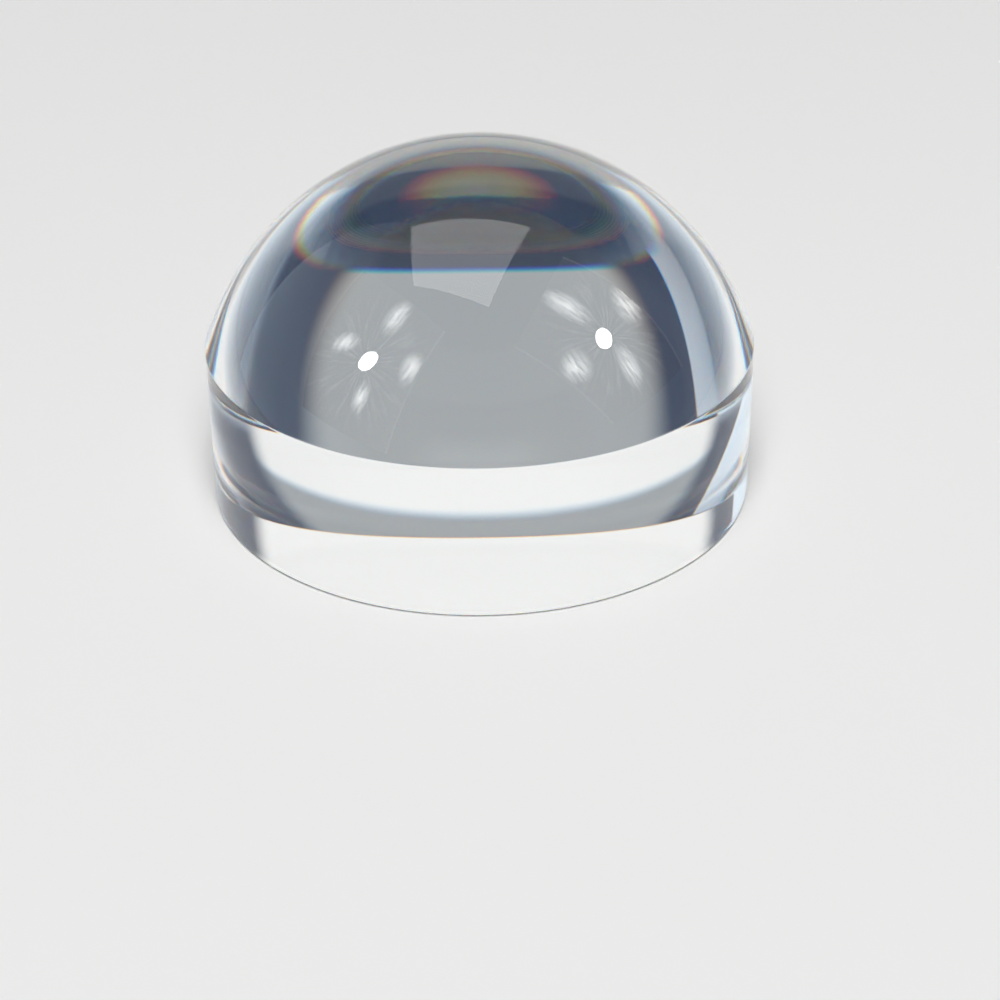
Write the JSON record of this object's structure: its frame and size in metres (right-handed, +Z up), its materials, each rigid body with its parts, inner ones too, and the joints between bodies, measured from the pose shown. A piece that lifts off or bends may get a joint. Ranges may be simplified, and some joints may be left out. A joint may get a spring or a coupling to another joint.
{
  "type": "dome magnifier",
  "caption": "Clear one-piece dome magnifier: a polished spherical dome on a straight round foot with a slightly hollow polished base, laid on a page to enlarge it.",
  "frame": {"origin": "centre of the flat ring round the base, on the surface that the magnifier stands on", "axes": "+Z up along the optical axis, from the base to the top of the dome; the shape is round, so X and Y are free"},
  "size_m": [0.08, 0.08, 0.0515],
  "materials": {
    "clear_acrylic": "polished"
  },
  "bodies": {
    "root": {"dome_lens": "clear_acrylic"}
  },
  "joints": []
}
